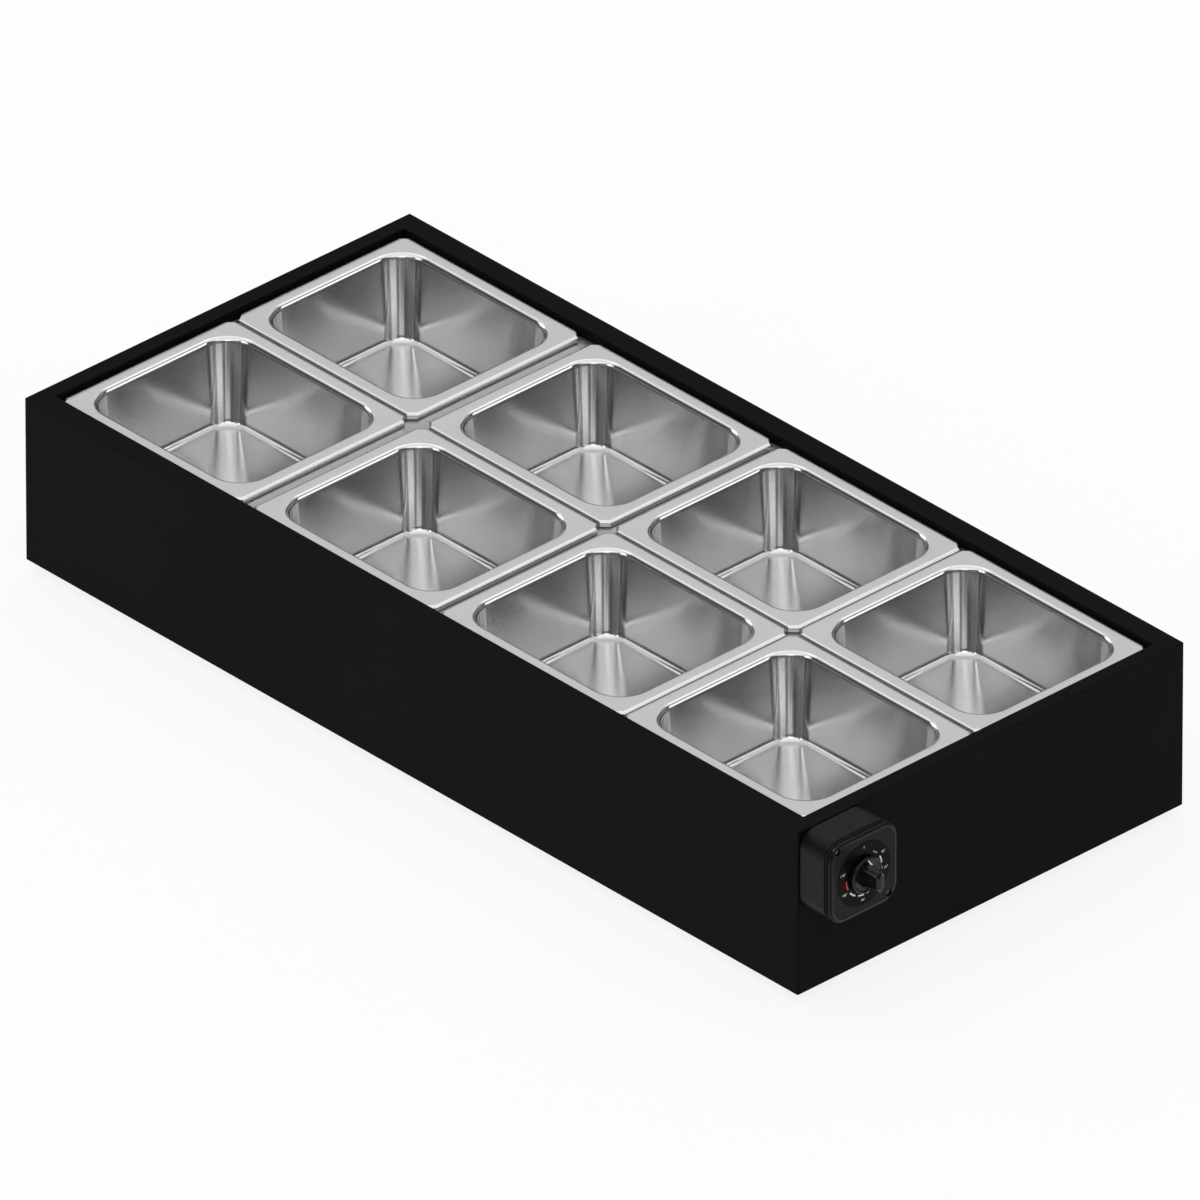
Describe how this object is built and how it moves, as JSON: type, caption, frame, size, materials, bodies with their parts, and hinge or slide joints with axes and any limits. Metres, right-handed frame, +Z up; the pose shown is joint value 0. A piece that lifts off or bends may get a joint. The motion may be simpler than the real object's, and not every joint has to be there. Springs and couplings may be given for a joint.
{
  "type": "buffet warmer",
  "caption": "Black countertop bain-marie with two rows of lift-out steel pans in a heated well, and a dial and knob on a small box at one end.",
  "frame": {"origin": "on the counter, under the middle of the whole warmer's bounding box", "axes": "+Z up; +X along the length towards the end with the control box; +Y towards the back, away from the long side that the control box is next to"},
  "size_m": [0.7944, 0.363, 0.133],
  "materials": {
    "housing": "matte black powder coat",
    "pan_steel": "satin stainless steel",
    "tank_steel": "satin stainless steel",
    "bar_steel": "satin stainless steel",
    "zinc_sheet": "zinc-coated sheet",
    "screws": "plated steel",
    "element": "dark heat-tinted steel",
    "rubber": "matte black",
    "control_moulding": "fine matte black",
    "gland_moulding": "smooth black",
    "moulding_inside": "pale moulding",
    "dial": "satin brown-black with a printed scale",
    "knob": "gloss black",
    "brass_fittings": "turned brass",
    "copper": "drawn copper",
    "insulator": "white ceramic",
    "mineral_board": "pressed mineral fibre"
  },
  "bodies": {
    "housing": {"casing_top": "housing", "casing_front": "housing", "casing_back": "housing", "casing_left": "housing", "casing_right": "housing", "base_plate": "zinc_sheet", "foot_front_left": "rubber", "foot_front_right": "rubber", "foot_back_left": "rubber", "foot_back_right": "rubber", "well_tank": "tank_steel", "row_bar": "bar_steel", "bar_brackets": "bar_steel", "heater_tube": "element", "heater_bushes": "brass_fittings", "heater_nuts": "brass_fittings", "heater_terminals": "insulator", "element_rests": "bar_steel", "thermostat_body": "moulding_inside", "capillary_tube": "copper", "capillary_gland": "brass_fittings", "thermostat_bulb": "copper", "bulb_clips": "bar_steel", "control_box": "control_moulding", "box_gasket": "rubber", "control_cover": "control_moulding", "cover_gasket": "rubber", "cover_screws": "screws", "dial_plate": "dial", "terminal_block": "moulding_inside", "safety_cutout": "moulding_inside", "cable_gland": "gland_moulding", "gland_nut": "gland_moulding", "insulation_base": "mineral_board", "insulation_front": "mineral_board", "insulation_back": "mineral_board", "insulation_left": "mineral_board", "cross_bar_front_1": "bar_steel", "cross_bar_back_1": "bar_steel", "cross_bar_front_2": "bar_steel", "cross_bar_back_2": "bar_steel", "cross_bar_front_3": "bar_steel", "cross_bar_back_3": "bar_steel"},
    "knob": {"control_knob": "knob", "knob_spindle": "screws"},
    "pan_front_1": {"pan_front_1": "pan_steel"},
    "pan_back_1": {"pan_back_1": "pan_steel"},
    "pan_front_2": {"pan_front_2": "pan_steel"},
    "pan_back_2": {"pan_back_2": "pan_steel"},
    "pan_front_3": {"pan_front_3": "pan_steel"},
    "pan_back_3": {"pan_back_3": "pan_steel"},
    "pan_front_4": {"pan_front_4": "pan_steel"},
    "pan_back_4": {"pan_back_4": "pan_steel"}
  },
  "joints": [
    {"name": "knob_turn", "type": "hinge", "parent": "housing", "child": "knob", "pos_m": [0.37675, -0.1503, 0.10215], "axis": [-1, 0, 0], "range_deg": [0, 290]},
    {"name": "pan_front_1_lift", "type": "slide", "parent": "housing", "child": "pan_front_1", "axis": [0, 0, 1], "range_m": [0, 0.12]},
    {"name": "pan_back_1_lift", "type": "slide", "parent": "housing", "child": "pan_back_1", "axis": [0, 0, 1], "range_m": [0, 0.12]},
    {"name": "pan_front_2_lift", "type": "slide", "parent": "housing", "child": "pan_front_2", "axis": [0, 0, 1], "range_m": [0, 0.12]},
    {"name": "pan_back_2_lift", "type": "slide", "parent": "housing", "child": "pan_back_2", "axis": [0, 0, 1], "range_m": [0, 0.12]},
    {"name": "pan_front_3_lift", "type": "slide", "parent": "housing", "child": "pan_front_3", "axis": [0, 0, 1], "range_m": [0, 0.12]},
    {"name": "pan_back_3_lift", "type": "slide", "parent": "housing", "child": "pan_back_3", "axis": [0, 0, 1], "range_m": [0, 0.12]},
    {"name": "pan_front_4_lift", "type": "slide", "parent": "housing", "child": "pan_front_4", "axis": [0, 0, 1], "range_m": [0, 0.12]},
    {"name": "pan_back_4_lift", "type": "slide", "parent": "housing", "child": "pan_back_4", "axis": [0, 0, 1], "range_m": [0, 0.12]}
  ]
}
